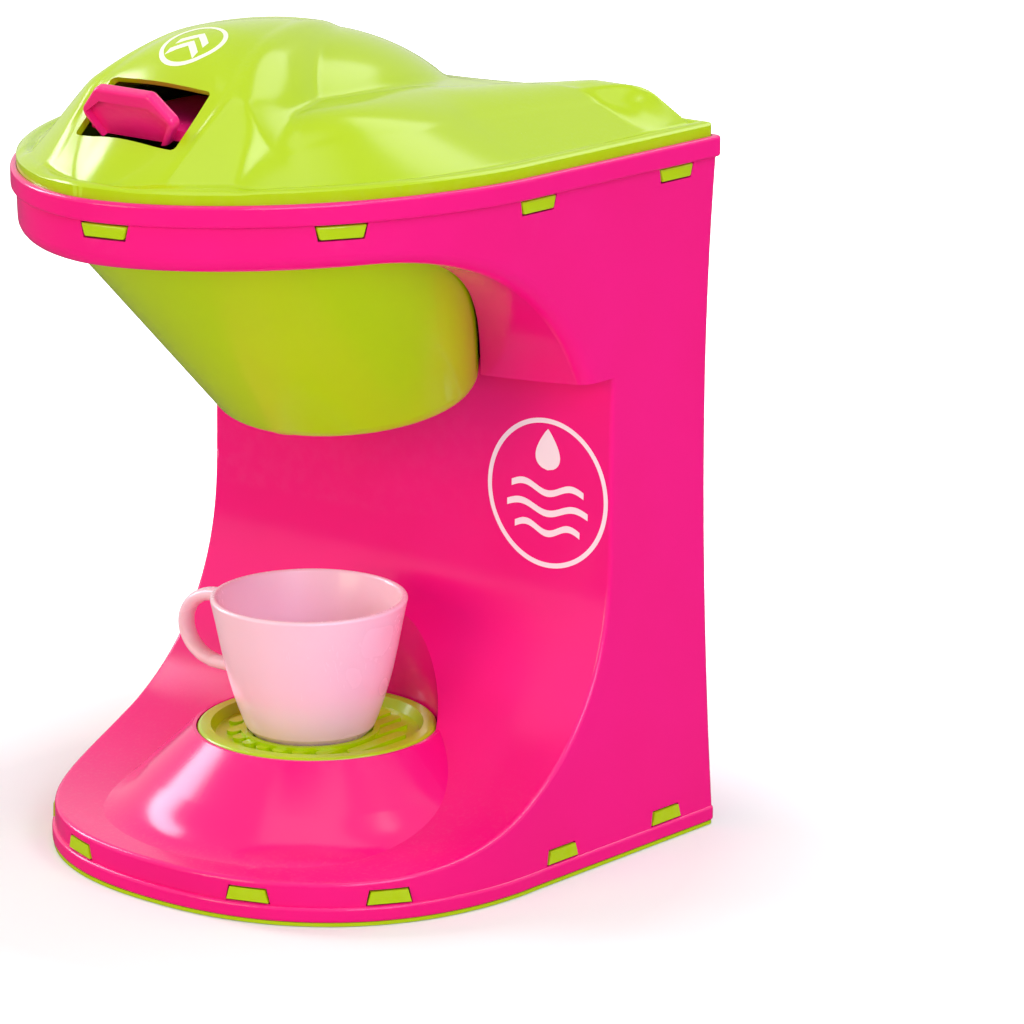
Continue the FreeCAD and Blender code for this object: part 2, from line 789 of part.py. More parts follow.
def lever():
    back_y = lip_front_y + lip_lean + lip_thickness
    top = lever_plate_height + lever_plate_thickness
    plate = box(-lever_half, lever_half, back_y - 1.0, lever_knee_y, lever_plate_height, top)
    rise = (pin_height - arm_front_z()) / (pin_y - lever_knee_y)
    half = arm_thickness / 2
    start = lever_knee_y - 8
    start_z = arm_front_z()
    points = [(start, start_z - half), (lever_knee_y, start_z - half), (pin_y, pin_height - half),
              (pin_y, pin_height + half), (lever_knee_y, start_z + half), (start, start_z + half)]
    arm = profile_prism(points, arm_half)
    hub = cross_rod(hub_radius - 0.6, -arm_half, arm_half)
    body = plate.fuse([arm, hub, lever_lip()])
    body = body.cut(cross_rod(pin_radius + pin_fit, -lever_half, lever_half))
    slot_z = pin_height - rise * (pin_y - spout_y)
    stem_slot = rod(stem_radius + 0.6, 0, spout_y, slot_z - 10, slot_z + 10)
    return biggest(body.cut(stem_slot).removeSplitter())


def cross_rod(radius, x0, x1):
    # Rod along x about the lever pin's line
    return Part.makeCylinder(radius, x1 - x0, Vector(x0, pin_y, pin_height), Vector(1, 0, 0))


def pin_reach():
    return arm_half + ear_gap + ear_thickness + pin_cap_thickness + 1.0


def lever_pin():
    return cross_rod(pin_radius, -pin_reach(), pin_reach())


def pin_caps():
    caps = []
    inner = arm_half + ear_gap + ear_thickness
    for side in (-1, 1):
        start = inner if side > 0 else -inner - pin_cap_thickness
        cap = cross_rod(pin_cap_radius, start, start + pin_cap_thickness)
        caps.append(cap.cut(lever_pin()))
    return Part.makeCompound(caps)


def tray_top():
    return mound_top + tray_proud


def rib_top():
    return tray_top() - tray_floor_drop + rib_height


def drip_tray():
    top = tray_top()
    low = top - tray_rim_thickness
    floor = top - tray_floor_drop
    disc = rod(tray_radius, 0, mound_y, low, top)
    rim = [e for e in disc.Edges if e.BoundBox.ZMin > top - 0.01]
    disc = disc.makeFillet(1.0, rim)
    centre = Vector(0, mound_y, floor)
    disc = disc.cut(Part.makeCone(tray_recess_radius - 1.2, tray_recess_radius, top - floor, centre))
    under = floor - tray_floor_thickness
    disc = disc.fuse(rod(tray_recess_radius, 0, mound_y, under, low + 0.5))
    ring_low = under - locating_ring_height
    ring_radius = tray_radius - well_ledge_width - tray_fit
    ring = rod(ring_radius, 0, mound_y, ring_low, low + 0.5)
    ring = ring.cut(rod(ring_radius - locating_ring_wall, 0, mound_y, ring_low - 1, under))
    disc = disc.fuse(ring)
    for step in range(rib_count):
        x = (step - (rib_count - 1) / 2) * rib_pitch
        reach = sqrt(rib_circle_radius ** 2 - x * x) - rib_width / 2
        half = rib_width / 2
        rib = box(x - half, x + half, mound_y - reach, mound_y + reach, floor - 0.4, rib_top())
        for y in (mound_y - reach, mound_y + reach):
            rib = rib.fuse(rod(half, x, y, floor - 0.4, rib_top()))
        disc = disc.fuse(rib)
    collar = rod(collar_outer_radius, 0, cup_y, floor - 0.4, floor + collar_height)
    disc = disc.fuse(collar.cut(rod(collar_outer_radius - collar_wall, 0, cup_y, floor - 1, top + 5)))
    return biggest(disc.removeSplitter())


def cup_profile(grow):
    # Radius and height pairs of the bowl's outside, from foot to rim
    height = cup_height
    rim = cup_rim_radius
    foot = cup_foot_radius
    swell = rim - foot
    points = [(foot + 0.16 * swell, 1.9), (foot + 0.34 * swell, 6.8), (foot + 0.565 * swell, 14.4),
              (foot + 0.755 * swell, 23.2), (rim, height)]
    return [(r - grow, z) for r, z in points]


def cup():
    base = rib_top()
    outside = cup_profile(0)
    curve = Part.BSplineCurve()
    curve.interpolate([Vector(r, 0, z) for r, z in outside])
    foot = cup_foot_radius
    lines = [Part.makeLine(Vector(0, 0, 0), Vector(foot, 0, 0)),
             Part.makeLine(Vector(foot, 0, 0), Vector(outside[0][0], 0, outside[0][1])),
             curve.toShape(),
             Part.makeLine(Vector(cup_rim_radius, 0, cup_height), Vector(0, 0, cup_height)),
             Part.makeLine(Vector(0, 0, cup_height), Vector(0, 0, 0))]
    solid = Part.Face(Part.Wire(lines)).revolve(Vector(0, 0, 0), Vector(0, 0, 1), 360)
    solid = solid.fuse(cup_handle())
    inside = cup_profile(cup_wall)
    hollow = Part.BSplineCurve()
    floor = 3.6
    inside = [(r, z) for r, z in inside if z > floor + 2]
    top_r = inside[-1][0]
    inside = inside + [(top_r + 0.5, cup_height + 2)]
    hollow.interpolate([Vector(inside[0][0] - 4.5, 0, floor)] + [Vector(r, 0, z) for r, z in inside])
    last = hollow.value(hollow.LastParameter)
    lines = [Part.makeLine(Vector(0, 0, floor), Vector(inside[0][0] - 4.5, 0, floor)),
             hollow.toShape(),
             Part.makeLine(last, Vector(0, 0, last.z)),
             Part.makeLine(Vector(0, 0, last.z), Vector(0, 0, floor))]
    bowl = Part.Face(Part.Wire(lines)).revolve(Vector(0, 0, 0), Vector(0, 0, 1), 360)
    solid = solid.cut(bowl).cut(Part.makeCone(foot - 1.6, foot - 2.4, 1.2, Vector(0, 0, 0)))
    rim = [e for e in solid.Edges if e.BoundBox.ZMin > cup_height - 0.05]
    solid = solid.makeFillet(cup_wall * 0.4, rim)
    solid.translate(Vector(0, cup_y, base))
    return biggest(solid)


def cup_handle():
    # Loop on the left of the bowl: a flat bar along two straight roots and half an ellipse
    centre = Vector(-handle_centre_x, 0, handle_centre_height)
    top = centre + Vector(0, 0, handle_loop_z)
    low = centre - Vector(0, 0, handle_loop_z)
    points = [(cos(angle), sin(angle)) for angle in (pi / 2 + pi * step / 16 for step in range(17))]
    curve = Part.BSplineCurve()
    curve.interpolate(Points=[centre + Vector(handle_loop_x * a, 0, handle_loop_z * b) for a, b in points],
                      InitialTangent=Vector(-1, 0, 0), FinalTangent=Vector(1, 0, 0))
    start = Vector(-cup_rim_radius + 1.6, 0, top.z)
    end = Vector(-cup_rim_radius + 5.4, 0, low.z)
    path = Part.Wire([Part.makeLine(start, top), curve.toShape(), Part.makeLine(low, end)])
    section = Part.Ellipse(start, handle_width / 2, handle_thickness / 2).toShape()
    section.rotate(start, Vector(0, 0, 1), 90)
    section.rotate(start, Vector(0, 1, 0), 90)
    return path.makePipeShell([Part.Wire([section])], True, False)


def main():
    os.makedirs("parts", exist_ok=True)
    flange_top = tank_flange_height + tank_flange_thickness
    save(body_shell(), "body_shell")
    save(lid(), "lid")
    save(base_plate(), "base_plate")
    save(funnel_tank(), "funnel_tank")
    save(stem_guide(), "stem_guide")
    save(screw_pair(side_screw_x, spout_y, flange_top + guide_thickness, 9.5), "guide_screws")
    save(screw_pair(rear_screw_x, rear_screw_y, flange_top, 7.5), "tank_screws")
    save(valve_stem(), "valve_stem")
    save(stem_clip(), "stem_clip")
    save(valve_plug(), "valve_plug")
    save(return_spring(), "return_spring")
    save(lever(), "lever")
    save(lever_pin(), "lever_pin")
    save(pin_caps(), "pin_caps")
    save(drip_tray(), "drip_tray")
    save(cup(), "cup")


if __name__ == "__main__":
    main()
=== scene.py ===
import json
import math
import bmesh
import bpy
from mathutils import Matrix, Vector


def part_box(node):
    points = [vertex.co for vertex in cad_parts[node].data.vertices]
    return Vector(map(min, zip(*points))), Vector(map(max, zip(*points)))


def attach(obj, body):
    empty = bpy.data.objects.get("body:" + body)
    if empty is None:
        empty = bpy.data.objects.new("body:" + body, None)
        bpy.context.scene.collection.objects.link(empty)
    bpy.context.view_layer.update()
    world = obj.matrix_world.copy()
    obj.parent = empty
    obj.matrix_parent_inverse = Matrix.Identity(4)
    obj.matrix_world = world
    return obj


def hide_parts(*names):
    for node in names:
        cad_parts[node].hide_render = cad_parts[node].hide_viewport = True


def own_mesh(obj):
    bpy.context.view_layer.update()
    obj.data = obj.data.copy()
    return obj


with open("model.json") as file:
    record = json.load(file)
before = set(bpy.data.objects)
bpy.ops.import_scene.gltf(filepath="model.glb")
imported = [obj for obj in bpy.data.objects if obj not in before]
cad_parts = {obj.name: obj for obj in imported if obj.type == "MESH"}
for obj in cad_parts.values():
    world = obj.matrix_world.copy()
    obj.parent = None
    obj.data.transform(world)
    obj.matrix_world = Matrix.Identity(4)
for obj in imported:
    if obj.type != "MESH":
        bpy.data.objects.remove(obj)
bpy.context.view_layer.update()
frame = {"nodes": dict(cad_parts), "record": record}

# the shapes below are in mm with the back face at y = 0, and this moves them to the frame's origin
shiftY = 78.65
millimetre = 0.001
print("frame loaded", len(frame["nodes"]), "nodes")


def place(x, y, z):
    return Vector((x, y + shiftY, z)) * millimetre


def clamp(value, low=0.0, high=1.0):
    return max(low, min(high, value))


def ease(value, start, length):
    share = clamp((value - start) / length)
    return share * share * (3 - 2 * share)


def softMax(a, b, blend):
    share = clamp(0.5 + 0.5 * (a - b) / blend)
    return b + (a - b) * share + blend * share * (1 - share) / 2


def softMin(a, b, blend):
    return -softMax(-a, -b, blend)


# camera
camera = {"lens": 175.78, "sensor": 36.0, "spot": (0.80107, -0.90272, 0.41853),
          "look": (-0.60779, 0.74859, -0.26498)}


def addCamera():
    data = bpy.data.cameras.new("studioCamera")
    data.lens = camera["lens"]
    data.sensor_width = camera["sensor"]
    item = bpy.data.objects.new("studioCamera", data)
    bpy.context.scene.collection.objects.link(item)
    look = Vector(camera["look"])
    side = look.cross(Vector((0, 0, 1))).normalized()
    up = side.cross(look).normalized()
    turn = Matrix((side, up, -look)).transposed().to_4x4()
    item.matrix_world = Matrix.Translation(Vector(camera["spot"])) @ turn
    bpy.context.scene.camera = item


addCamera()


# shader helpers
def socketIn(group, name, value):
    made = group.interface.new_socket(name=name, in_out="INPUT", socket_type="NodeSocketFloat")
    made.default_value = value


def socketOut(group, name):
    group.interface.new_socket(name=name, in_out="OUTPUT", socket_type="NodeSocketFloat")


def addNode(tree, kind, **values):
    made = tree.nodes.new(kind)
    for key, value in values.items():
        made.inputs[key].default_value = value
    return made


def mathNode(tree, kind, first, second):
    made = tree.nodes.new("ShaderNodeMath")
    made.operation = kind
    for index, source in enumerate((first, second)):
        if isinstance(source, (int, float)):
            made.inputs[index].default_value = source
        else:
            tree.links.new(source, made.inputs[index])
    return made.outputs[0]


def ramp(tree, source, low, high, toLow=0.0, toHigh=1.0):
    made = tree.nodes.new("ShaderNodeMapRange")
    made.inputs["From Min"].default_value = low
    made.inputs["From Max"].default_value = high
    made.inputs["To Min"].default_value = toLow
    made.inputs["To Max"].default_value = toHigh
    tree.links.new(source, made.inputs["Value"])
    return made.outputs["Result"]


def noise(tree, vector, scale, detail=2.0, rough=0.5):
    made = tree.nodes.new("ShaderNodeTexNoise")
    made.inputs["Detail"].default_value = detail
    made.inputs["Roughness"].default_value = rough
    tree.links.new(vector, made.inputs["Vector"])
    if isinstance(scale, (int, float)):
        made.inputs["Scale"].default_value = scale
    else:
        tree.links.new(scale, made.inputs["Scale"])
    return made.outputs["Fac"]


# the faint unevenness of moulded plastic: long sink waves, a fine skin and sparse rub marks
skinForm = {"waveDetail": 1.0, "skinDetail": 3.0, "cloudScale": 22.0, "patchScale": 45.0, "patchDetail": 4.0,
            "patchRough": 0.7, "patches": (0.55, 0.75), "stretch": (1.0, 0.35, 0.12), "turn": (0.5, 0.3, 0.9),
            "lineScale": 2600.0, "lines": (0.62, 0.72)}


def mouldSkinGroup():
    group = bpy.data.node_groups.new("mouldSkin", "ShaderNodeTree")
    socketIn(group, "Wave Scale", 60.0)
    socketIn(group, "Skin Scale", 1500.0)
    socketIn(group, "Skin Share", 0.3)
    for name in ("Height", "Cloud", "Rub"):
        socketOut(group, name)
    enter = group.nodes.new("NodeGroupInput")
    leave = group.nodes.new("NodeGroupOutput")
    where = group.nodes.new("ShaderNodeTexCoord").outputs["Object"]
    waves = noise(group, where, enter.outputs["Wave Scale"], skinForm["waveDetail"])
    skin = noise(group, where, enter.outputs["Skin Scale"], skinForm["skinDetail"])
    skinPart = mathNode(group, "MULTIPLY", skin, enter.outputs["Skin Share"])
    group.links.new(mathNode(group, "ADD", waves, skinPart), leave.inputs["Height"])
    group.links.new(noise(group, where, skinForm["cloudScale"]), leave.inputs["Cloud"])
    spots = noise(group, where, skinForm["patchScale"], skinForm["patchDetail"], skinForm["patchRough"])
    patches = ramp(group, spots, *skinForm["patches"])
    streak = addNode(group, "ShaderNodeMapping", Scale=skinForm["stretch"], Rotation=skinForm["turn"])
    group.links.new(where, streak.inputs["Vector"])
    lines = ramp(group, noise(group, streak.outputs[0], skinForm["lineScale"]), *skinForm["lines"])
    group.links.new(mathNode(group, "MULTIPLY", patches, lines), leave.inputs["Rub"])
    return group


# pale edges from pointiness, partly rub wear and partly a painted highlight on sharp edges, and a trace of
# dust on faces that look up
edgeWearHighlightDustForm = {"sharp": (0.52, 0.60), "breakScale": 300.0, "breakDetail": 3.0, "breakRough": 0.65,
           "broken": (0.42, 0.62), "upward": (0.75, 1.0), "moteScale": 900.0, "moteDetail": 4.0,
           "moteRough": 0.7, "motes": (0.50, 0.68)}


def edgeWearHighlightGroup():
    group = bpy.data.node_groups.new("edgeWearHighlight", "ShaderNodeTree")
    socketIn(group, "Edge Amount", 0.25)
    socketIn(group, "Dust Amount", 0.04)
    socketOut(group, "Edge")
    socketOut(group, "Dust")
    enter = group.nodes.new("NodeGroupInput")
    leave = group.nodes.new("NodeGroupOutput")
    shape = group.nodes.new("ShaderNodeNewGeometry")
    where = group.nodes.new("ShaderNodeTexCoord").outputs["Object"]
    # painted highlight: sharp edges found by pointiness get the pale edge colour, standing in for light
    # catching the edges as well as for rub wear
    sharp = ramp(group, shape.outputs["Pointiness"], *edgeWearHighlightDustForm["sharp"])
    breaks = noise(group, where, edgeWearHighlightDustForm["breakScale"], edgeWearHighlightDustForm["breakDetail"], edgeWearHighlightDustForm["breakRough"])
    edge = mathNode(group, "MULTIPLY", sharp, ramp(group, breaks, *edgeWearHighlightDustForm["broken"]))
    group.links.new(mathNode(group, "MULTIPLY", edge, enter.outputs["Edge Amount"]), leave.inputs["Edge"])
    split = group.nodes.new("ShaderNodeSeparateXYZ")
    group.links.new(shape.outputs["Normal"], split.inputs[0])
    upward = ramp(group, split.outputs["Z"], *edgeWearHighlightDustForm["upward"])
    motes = noise(group, where, edgeWearHighlightDustForm["moteScale"], edgeWearHighlightDustForm["moteDetail"], edgeWearHighlightDustForm["moteRough"])
    dust = mathNode(group, "MULTIPLY", upward, ramp(group, motes, *edgeWearHighlightDustForm["motes"]))
    group.links.new(mathNode(group, "MULTIPLY", dust, enter.outputs["Dust Amount"]), leave.inputs["Dust"])
    return group


mouldSkin = mouldSkinGroup()
edgeWearHighlight = edgeWearHighlightGroup()


def mixColor(tree, share, first, second):
    made = tree.nodes.new("ShaderNodeMix")
    made.data_type = "RGBA"
    tree.links.new(share, made.inputs["Factor"])
    for socket, source in ((made.inputs[6], first), (made.inputs[7], second)):
        if isinstance(source, tuple):
            socket.default_value = (*source, 1)
        else:
            tree.links.new(source, socket)
    return made.outputs[2]


def linear(*screenColor):
    # screen values from 0 to 255, as light
    return tuple((v / 255 / 12.92) if v <= 10.3 else ((v / 255 + 0.055) / 1.055) ** 2.4 for v in screenColor)


def newMaterial(name):
    material = bpy.data.materials.new(name)
    material.use_nodes = True
    return material, material.node_tree


def addSkin(tree, look):
    skin = tree.nodes.new("ShaderNodeGroup")
    skin.node_tree = mouldSkin
    skin.inputs["Wave Scale"].default_value = look["waveScale"]
    skin.inputs["Skin Scale"].default_value = look["skinScale"]
    skin.inputs["Skin Share"].default_value = look["skinShare"]
    return skin


def addBump(tree, look, height, shader):
    bump = addNode(tree, "ShaderNodeBump", Strength=look["bump"], Distance=look["bumpDepth"])
    tree.links.new(height, bump.inputs["Height"])
    tree.links.new(bump.outputs[0], shader.inputs["Normal"])


wear = {"cloud": (0.3, 0.7), "cloudRough": 0.02, "dustColor": (0.86, 0.82, 0.80), "dustRough": 0.9,
        "coatRough": 0.05}


def plastic(name, look):
    material, tree = newMaterial(name)
    shader = tree.nodes["Principled BSDF"]
    skin = addSkin(tree, look)
    rub = tree.nodes.new("ShaderNodeGroup")
    rub.node_tree = edgeWearHighlight
    rub.inputs["Edge Amount"].default_value = look["edge"]
    rub.inputs["Dust Amount"].default_value = look["dust"]
    cloud = ramp(tree, skin.outputs["Cloud"], *wear["cloud"])
    base = mixColor(tree, cloud, look["color"], look["deep"])
    # painted highlight: the pale edge colour is mixed in along sharp edges, partly as rub wear and partly as
    # light catching the edges
    edgeWearHighlightColor = mixColor(tree, rub.outputs["Edge"], base, look["edgeWearHighlightColor"])
    dusty = mixColor(tree, rub.outputs["Dust"], edgeWearHighlightColor, wear["dustColor"])
    tree.links.new(dusty, shader.inputs["Base Color"])
    rougher = look["rough"] + wear["cloudRough"]
    clouded = ramp(tree, skin.outputs["Cloud"], *wear["cloud"], look["rough"], rougher)
    rough = mathNode(tree, "ADD", clouded, mathNode(tree, "MULTIPLY", skin.outputs["Rub"], look["rub"]))
    rough = mathNode(tree, "ADD", rough, mathNode(tree, "MULTIPLY", rub.outputs["Dust"], wear["dustRough"]))
    tree.links.new(rough, shader.inputs["Roughness"])
    addBump(tree, look, skin.outputs["Height"], shader)
    shader.inputs["IOR"].default_value = look.get("ior", 1.5)
    shader.inputs["Coat Weight"].default_value = look.get("coat", 0.0)
    shader.inputs["Coat Roughness"].default_value = wear["coatRough"]
    shader.inputs["Subsurface Weight"].default_value = look.get("glow", 0.0)
    shader.inputs["Subsurface Radius"].default_value = look.get("glowRadius", (1.0, 0.3, 0.2))
    shader.inputs["Subsurface Scale"].default_value = look.get("glowDepth", 0.002)
    return material


# the pale edge colour and the edge amount of each finish paint a highlight along sharp edges, partly as rub
# wear
hotPink = {"color": linear(243, 16, 126), "deep": linear(240, 12, 119), "edgeWearHighlightColor": linear(250, 110, 178),
           "rough": 0.17, "rub": 0.10, "bump": 0.10, "bumpDepth": 0.0006, "waveScale": 55.0,
           "skinScale": 1600.0, "skinShare": 0.05, "edge": 0.07, "dust": 0.02, "ior": 1.42}
leverPink = dict(hotPink, color=linear(243, 30, 124), deep=linear(238, 24, 116), rough=0.24, skinShare=0.10)
limeGreen = {"color": linear(178, 208, 0), "deep": linear(174, 204, 0), "edgeWearHighlightColor": linear(220, 232, 120),
             "rough": 0.18, "rub": 0.10, "bump": 0.10, "bumpDepth": 0.0006, "waveScale": 50.0,
             "skinScale": 1500.0, "skinShare": 0.06, "edge": 0.05, "dust": 0.02, "ior": 1.45}
cupPink = {"color": linear(250, 204, 216), "deep": linear(248, 198, 212), "edgeWearHighlightColor": linear(252, 222, 230),
           "rough": 0.26, "rub": 0.20, "bump": 0.10, "bumpDepth": 0.0005, "waveScale": 80.0,
           "skinScale": 1700.0, "skinShare": 0.10, "edge": 0.05, "dust": 0.02, "coat": 0.15,
           "glow": 0.15, "glowRadius": (1.0, 0.5, 0.45), "glowDepth": 0.0015}
innerWhite = {"color": linear(228, 227, 221), "deep": linear(220, 219, 212), "edgeWearHighlightColor": linear(240, 240, 238),
              "rough": 0.38, "rub": 0.2, "bump": 0.15, "bumpDepth": 0.0004, "waveScale": 120.0,
              "skinScale": 1900.0, "skinShare": 0.2, "edge": 0.10, "dust": 0.03}
softRubber = {"color": linear(206, 204, 196), "deep": linear(196, 193, 184), "edgeWearHighlightColor": linear(220, 218, 212),
              "rough": 0.62, "rub": 0.1, "bump": 0.3, "bumpDepth": 0.0003, "waveScale": 200.0,
              "skinScale": 2600.0, "skinShare": 0.5, "edge": 0.05, "dust": 0.08}
printInk = {"color": linear(253, 232, 240), "deep": linear(251, 224, 235), "edgeWearHighlightColor": linear(250, 190, 214),
            "rough": 0.34, "rub": 0.2, "bump": 0.12, "bumpDepth": 0.0001, "waveScale": 300.0,
            "skinScale": 3000.0, "skinShare": 0.4, "edge": 0.0, "dust": 0.0}
domeInk = dict(printInk, color=linear(246, 250, 226), deep=linear(240, 246, 212), edgeWearHighlightColor=linear(224, 236, 130))
zincSteel = {"color": (0.62, 0.62, 0.64), "deep": (0.50, 0.50, 0.52), "waveScale": 400.0, "skinScale": 5000.0,
             "skinShare": 0.3, "height": (0.3, 0.8), "rough": (0.22, 0.36), "bump": 0.15, "bumpDepth": 0.0001}


def steelMaterial(name, look):
    material, tree = newMaterial(name)
    shader = tree.nodes["Principled BSDF"]
    skin = addSkin(tree, look)
    color = mixColor(tree, skin.outputs["Cloud"], look["color"], look["deep"])
    tree.links.new(color, shader.inputs["Base Color"])
    shader.inputs["Metallic"].default_value = 1.0
    rough = ramp(tree, skin.outputs["Height"], *look["height"], *look["rough"])
    tree.links.new(rough, shader.inputs["Roughness"])
    addBump(tree, look, skin.outputs["Height"], shader)
    return material


finishes = {"pink_shell": plastic("glossyPink", hotPink),
            "lime_plastic": plastic("limeGloss", limeGreen),
            "lever_pink": plastic("leverPink", leverPink),
            "cup_pink": plastic("palePink", cupPink),
            "white_plastic": plastic("innerWhite", innerWhite),
            "plug_rubber": plastic("softRubber", softRubber),
            "steel": steelMaterial("zincSteel", zincSteel)}
inkOnPink = plastic("printInk", printInk)
inkOnLime = plastic("domeInk", domeInk)
print("materials made", len(finishes))

# every carried-over CAD node gets the finish of its record slot
slotOf = {part["node"]: part["material_slot"] for part in frame["record"]["subparts"]}
for nodeName, nodeObject in frame["nodes"].items():
    nodeObject.data.materials.clear()
    nodeObject.data.materials.append(finishes[slotOf[nodeName]])
print("finishes on the CAD nodes")


# mesh helpers
weldReach = 0.000004


def makePiece(name, points, faces, material, body, sharp=35.0):
    mesh = bpy.data.meshes.new(name)
    mesh.from_pydata(points, [], faces)
    mesh.validate()
    mesh.materials.append(material)
    item = bpy.data.objects.new(name, mesh)
    bpy.context.scene.collection.objects.link(item)
    tidyNormals(item)
    smooth(item, sharp)
    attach(item, body)
    return item


def tidyNormals(item):
    work = bmesh.new()
    work.from_mesh(item.data)
    bmesh.ops.remove_doubles(work, verts=work.verts, dist=weldReach)
    bmesh.ops.recalc_face_normals(work, faces=work.faces)
    work.to_mesh(item.data)
    work.free()


def smooth(item, angle):
    item.data.shade_smooth()
    item.data.set_sharp_from_angle(angle=math.radians(angle))


def applyModifiers(item):
    graph = bpy.context.evaluated_depsgraph_get()
    graph.update()
    mesh = bpy.data.meshes.new_from_object(item.evaluated_get(graph))
    old = item.data
    item.modifiers.clear()
    item.data = mesh
    bpy.data.meshes.remove(old)


def addTo(points, faces, morePoints, moreFaces):
    start = len(points)
    points.extend(morePoints)
    faces.extend([tuple(start + index for index in face) for face in moreFaces])


def ringTube(rings, loop=False):
    # rings of points of equal count, joined one to the next
    count = len(rings[0])
    points = [point for ring in rings for point in ring]
    faces = []
    last = len(rings) if loop else len(rings) - 1
    for j in range(last):
        k = (j + 1) % len(rings)
        for i in range(count):
            n = (i + 1) % count
            faces.append((j * count + i, j * count + n, k * count + n, k * count + i))
    if not loop:
        faces.append(tuple(range(count))[::-1])
        faces.append(tuple((len(rings) - 1) * count + i for i in range(count)))
    return points, faces


# lid
lid = {"half": 70.4, "taper": 3.0, "start": 68.9, "reach": 86.8, "power": 1.83, "back": -1.6,
       "corner": 2.0, "seat": 178.6, "crease": 183.3, "thick": 1.8,
       "rows": 240, "columns": 220, "sharp": 38.0,
       "beadWidth": 4.6, "beadMiddle": 0.45, "beadReach": 0.62, "beadSink": 2.8, "beadHigh": 3.0,
       "sideSteep": 0.47, "frontSteep": 0.35, "frontRise": (62, 50),
       "rearSteep": 0.8, "rearRise": (-26, 16), "cornerRise": (5, 40),
       "shoulderHalf": 44.0, "shoulderFront": 196.2, "shoulderRear": 193.6, "shoulderRise": (20, 78),
       "frontDrop": 0.0055, "frontDropLead": 4, "shoulderBlend": 4.5, "seamBlend": 1.6,
       "valleyDeep": 7.0, "valleyStart": -42, "valleyLength": 34, "valleyPower": 1.2,
       "valleyFill": 2.5, "valleyFillRise": (42, 40),
       "ballTop": 210.6, "ballY": -85.0, "ballLong": 91.7, "ballCross": 34.3, "ballReach": 70.0,
       "ballLeast": 0.12, "ballFlare": 3,
       "top": 213.6, "topY": -102.0, "frontRadius": 36.0, "rearRadius": 150.0, "slope": math.pi / 4,
       "stripHalf": 26.0, "taperStart": -125.0, "taperLength": 63.0, "taperPower": 0.8,
       "stripSteep": 1.3, "stripBlend": 7.0, "crown": 0.013, "crownRise": (-146.0, 38.0), "crownBlend": 12.0,
       "rimSteep": 1.15, "rimBlend": 1.5, "frontBlend": 5.0, "frontBlendRise": (104, 22),
       "slotHalf": 16.0, "slotFrontY": -140.3, "slotLength": 18.0, "slotTop": 214.3, "slotCorner": 1.4,
       "slotDepth": 6.0}


def rimDistance(x, y):
    front = lid["half"] - lid["taper"]
    rear = lid["back"] - y
    if y > -lid["start"]:
        return min(front + lid["taper"] * (1 + y / lid["start"]) - abs(x), rear)
    radius = math.hypot(x, y + lid["start"])
    if radius < 0.01:
        return front
    p = lid["power"]
    rho = ((abs(x) / front) ** p + (abs(y + lid["start"]) / lid["reach"]) ** p) ** (1 / p)
    return min(radius * (1 / rho - 1), rear)


def baseHeight(q, y, edge):
    # rim bead, flank, and the shoulder with its rear valley
    beadShare = (edge - lid["beadMiddle"] * lid["beadWidth"]) / (lid["beadReach"] * lid["beadWidth"])
    bead = lid["crease"] - lid["beadSink"] + lid["beadHigh"] * math.sqrt(1 - clamp(beadShare, -1.0, 1.0) ** 2)
    steep = lid["sideSteep"] + lid["frontSteep"] * ease(-y, *lid["frontRise"])
    steep += lid["rearSteep"] * ease(y, *lid["rearRise"]) * ease(q, *lid["cornerRise"])
    face = lid["crease"] + steep * (edge - lid["beadWidth"])
    frontFall = lid["frontDrop"] * max(0.0, -y + lid["topY"] + lid["frontDropLead"]) ** 2
    rise = ease(-y, *lid["shoulderRise"])
    shoulder = lid["shoulderRear"] + (lid["shoulderFront"] - lid["shoulderRear"]) * rise - frontFall
    inward = 1 - min(1.0, q / lid["shoulderHalf"]) ** 2
    valleyShare = clamp((y - lid["valleyStart"]) / lid["valleyLength"])
    valley = lid["valleyDeep"] * valleyShare ** lid["valleyPower"]
    valley -= lid["valleyFill"] * ease(-y, *lid["valleyFillRise"])
    return softMax(softMin(face, shoulder - valley * inward, lid["shoulderBlend"]), bead, lid["seamBlend"])


def ballHeight(q, y):
    along = min(lid["ballLong"] - 1, abs(y - lid["ballY"]))
    cross = lid["ballCross"] * math.sqrt(max(lid["ballLeast"], 1 - (along / lid["ballReach"]) ** 2))
    if q < cross:
        swell = cross - math.sqrt(max(0.0, cross * cross - q * q))
    else:
        swell = cross + lid["ballFlare"] * (q - cross)
    return lid["ballTop"] - lid["ballLong"] + math.sqrt(lid["ballLong"] ** 2 - along ** 2) - swell


def crestHeight(y):
    # the strip's middle line: a long fall behind its top and a 45 degree slope in front
    run, radius, slope = y - lid["topY"], lid["frontRadius"], lid["slope"]
    if run >= 0:
        return lid["top"] - lid["rearRadius"] + math.sqrt(lid["rearRadius"] ** 2 - run * run)
    if run > -radius * math.sin(slope):
        return lid["top"] - radius + math.sqrt(radius ** 2 - run * run)
    return lid["top"] - radius * (1 - math.cos(slope)) + run + radius * math.sin(slope)


def stripHeight(q, y, edge):
    share = clamp((y - lid["taperStart"]) / lid["taperLength"])
    half = lid["stripHalf"] * (1 - share) ** lid["taperPower"]
    crown = lid["crown"] * ease(y, *lid["crownRise"]) * softMin(q, half + 1, lid["crownBlend"]) ** 2
    strip = crestHeight(y) - crown - lid["stripSteep"] * softMax(0.0, q - half, lid["stripBlend"])
    return softMin(strip, lid["crease"] + lid["rimSteep"] * (edge - lid["beadWidth"] + 1), lid["rimBlend"])


